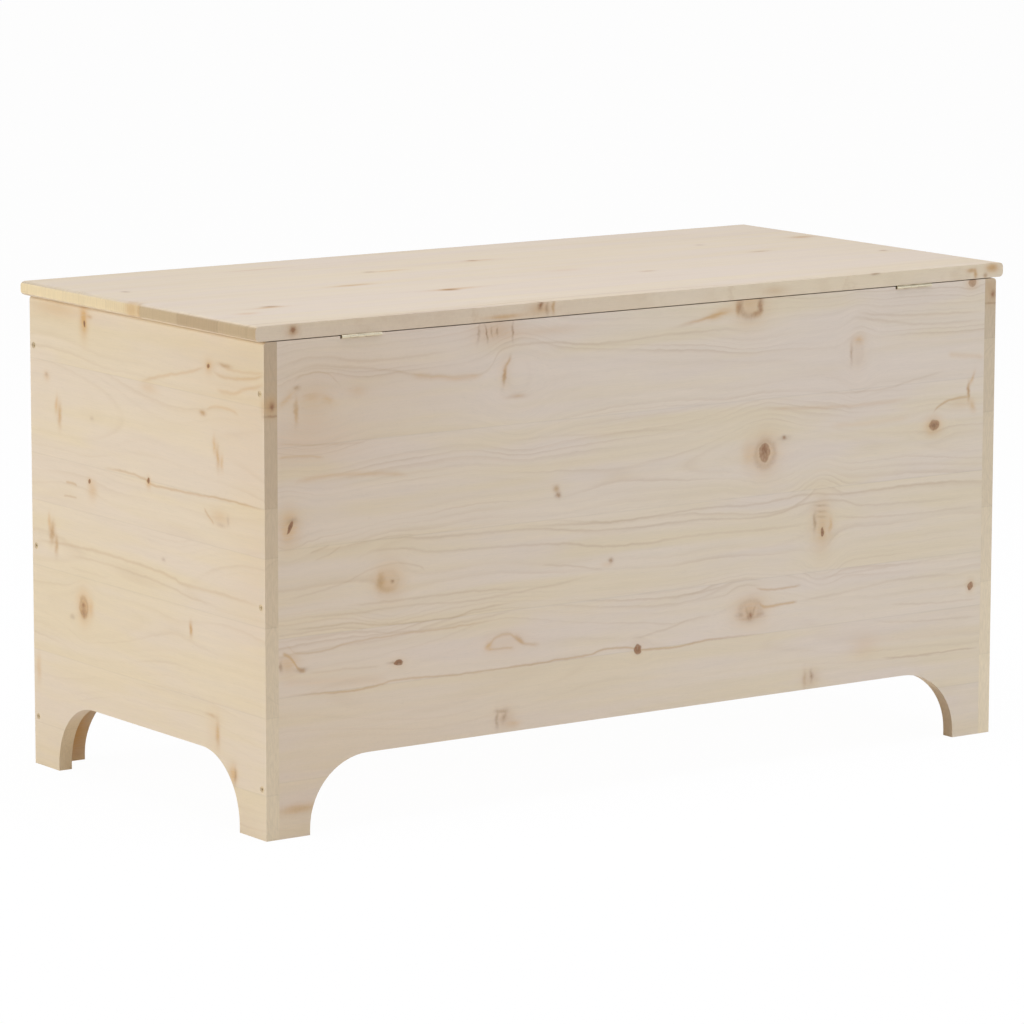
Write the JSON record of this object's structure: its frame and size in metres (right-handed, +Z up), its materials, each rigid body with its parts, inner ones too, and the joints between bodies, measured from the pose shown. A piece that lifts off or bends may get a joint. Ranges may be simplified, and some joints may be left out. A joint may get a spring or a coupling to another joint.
{
  "type": "toy box",
  "caption": "Rectangular pine toy box on arched feet, with an overhanging lid on two butt hinges and a folding stay at each end.",
  "frame": {"origin": "on the floor under the middle of the box, centred on the lid's length and on the depth from the lid's front edge to the hinge knuckles", "axes": "+Z up, +Y towards the hinges at the rear, so the front faces -Y; +X to the right as seen from the front"},
  "size_m": [1, 0.48, 0.54],
  "materials": {
    "pine_boards": "raw sanded pine, knotty, unvarnished",
    "pine_inside": "raw planed pine",
    "screw_steel": "zinc plated, dull",
    "hinge_metal": "pale yellow plating, satin",
    "stay_steel": "zinc plated, satin",
    "felt": "grey pressed felt"
  },
  "bodies": {
    "box": {"side_panel_left": "pine_boards", "side_panel_right": "pine_boards", "front_panel": "pine_boards", "back_panel": "pine_boards", "bottom_panel": "pine_inside", "batten_front": "pine_inside", "batten_back": "pine_inside", "batten_left": "pine_inside", "batten_right": "pine_inside", "batten_middle": "pine_inside", "corner_dowels": "pine_inside", "panel_screws_left": "screw_steel", "panel_screws_right": "screw_steel", "batten_screws": "screw_steel", "base_screws": "screw_steel", "lid_pads": "felt", "hinge_left_box_leaf": "hinge_metal", "hinge_left_pin": "hinge_metal", "hinge_right_box_leaf": "hinge_metal", "hinge_right_pin": "hinge_metal", "hinge_screws_box": "hinge_metal", "stay_left_wall_bracket": "stay_steel", "stay_left_wall_rivet": "stay_steel", "stay_right_wall_bracket": "stay_steel", "stay_right_wall_rivet": "stay_steel", "stay_screws_wall": "screw_steel"},
    "lid": {"lid_panel": "pine_boards", "lid_cleat_left": "pine_inside", "lid_cleat_right": "pine_inside", "cleat_screws": "screw_steel", "hinge_left_lid_leaf": "hinge_metal", "hinge_right_lid_leaf": "hinge_metal", "hinge_screws_lid": "hinge_metal", "stay_left_lid_rivet": "stay_steel", "stay_left_lid_bracket": "stay_steel", "stay_right_lid_rivet": "stay_steel", "stay_right_lid_bracket": "stay_steel", "stay_screws_lid": "screw_steel"},
    "stay_left_lower": {"stay_left_lower_arm": "stay_steel", "stay_left_elbow_rivet": "stay_steel"},
    "stay_left_upper": {"stay_left_upper_arm": "stay_steel"},
    "stay_right_lower": {"stay_right_lower_arm": "stay_steel", "stay_right_elbow_rivet": "stay_steel"},
    "stay_right_upper": {"stay_right_upper_arm": "stay_steel"}
  },
  "joints": [
    {"name": "lid_hinge", "type": "hinge", "parent": "box", "child": "lid", "pos_m": [0, 0.2382, 0.522], "axis": [-1, 0, 0], "range_deg": [0, 100]},
    {"name": "stay_left_wall_pivot", "type": "hinge", "parent": "box", "child": "stay_left_lower", "pos_m": [-0.4705, 0.1982, 0.392], "axis": [-1, 0, 0], "range_deg": [0, 100]},
    {"name": "stay_left_elbow", "type": "hinge", "parent": "stay_left_lower", "child": "stay_left_upper", "pos_m": [-0.4705, 0.0482, 0.38], "axis": [-1, 0, 0], "range_deg": [-100, 0]},
    {"name": "stay_right_wall_pivot", "type": "hinge", "parent": "box", "child": "stay_right_lower", "pos_m": [0.4705, 0.1982, 0.392], "axis": [-1, 0, 0], "range_deg": [0, 100]},
    {"name": "stay_right_elbow", "type": "hinge", "parent": "stay_right_lower", "child": "stay_right_upper", "pos_m": [0.4705, 0.0482, 0.38], "axis": [-1, 0, 0], "range_deg": [-100, 0]}
  ],
  "couplings": [
    {"joint": "stay_left_wall_pivot", "follows": "lid_hinge", "ratio": 1},
    {"joint": "stay_left_elbow", "follows": "lid_hinge", "ratio": -1},
    {"joint": "stay_right_wall_pivot", "follows": "lid_hinge", "ratio": 1},
    {"joint": "stay_right_elbow", "follows": "lid_hinge", "ratio": -1}
  ]
}
